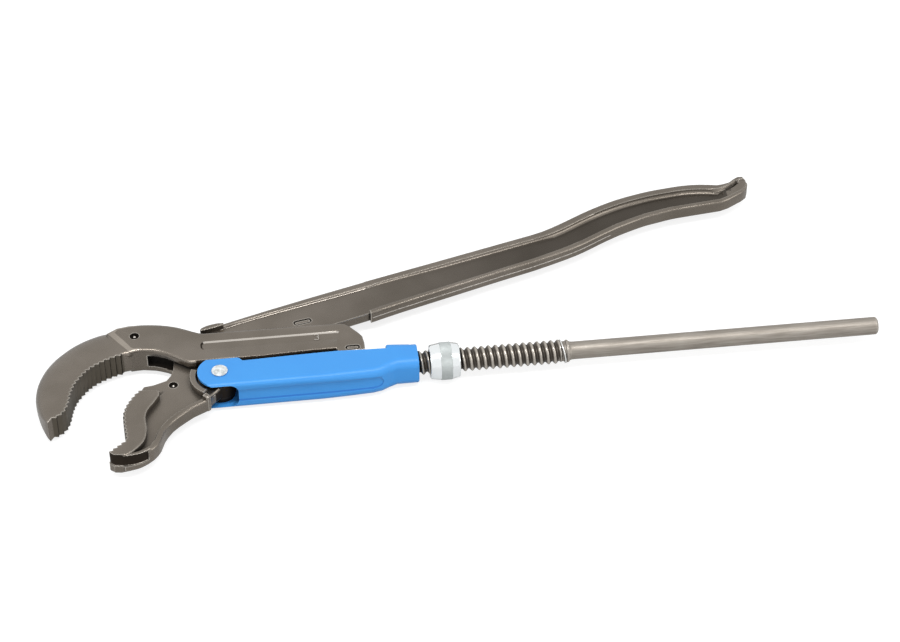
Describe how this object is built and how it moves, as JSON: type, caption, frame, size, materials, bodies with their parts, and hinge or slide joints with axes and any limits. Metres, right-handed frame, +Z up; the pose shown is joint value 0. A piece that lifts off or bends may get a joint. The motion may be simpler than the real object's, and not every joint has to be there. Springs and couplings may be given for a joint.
{
  "type": "angled pipe wrench",
  "caption": "Corner pipe wrench with S-shaped toothed jaws, a threaded rod with ring nut, a sliding channel housing on a rivet pivot and an I-beam handle.",
  "frame": {"origin": "centre of the overall box at its lowest level, the wrench lying flat on its side", "axes": "+X along the round rod from the jaws to the rod's free end, +Y from the rod towards the I-beam handle, +Z up, square to the flat sides"},
  "size_m": [0.6602, 0.2826, 0.0296],
  "materials": {
    "forged_steel": "drop-forged, shot-blasted and thinly lacquered grey-brown, brighter on ground edges",
    "blue_coat": "smooth semi-gloss powder coat",
    "zinc_plate": "bright zinc plated"
  },
  "bodies": {
    "hook": {"hook_leg": "forged_steel", "stop_ring": "zinc_plate"},
    "slider": {"slide_housing": "blue_coat", "pivot_rivet": "zinc_plate"},
    "lower_jaw": {"lower_leg": "forged_steel"},
    "nut": {"adjusting_nut": "zinc_plate"}
  },
  "joints": [
    {"name": "housing_slide", "type": "slide", "parent": "hook", "child": "slider", "axis": [1, 0, 0], "range_m": [-0.006, 0.04]},
    {"name": "jaw_pivot", "type": "hinge", "parent": "slider", "child": "lower_jaw", "pos_m": [-0.18894, -0.0595, 0.0148], "axis": [0, 0, 1], "range_deg": [-12, 0]},
    {"name": "nut_turn", "type": "hinge", "parent": "slider", "child": "nut", "pos_m": [-0.01474, -0.0549, 0.0148], "axis": [1, 0, 0], "range_deg": [-400, 2640]}
  ],
  "couplings": [
    {"joint": "nut_turn", "follows": "housing_slide", "rad_per_m": 1150.8}
  ]
}
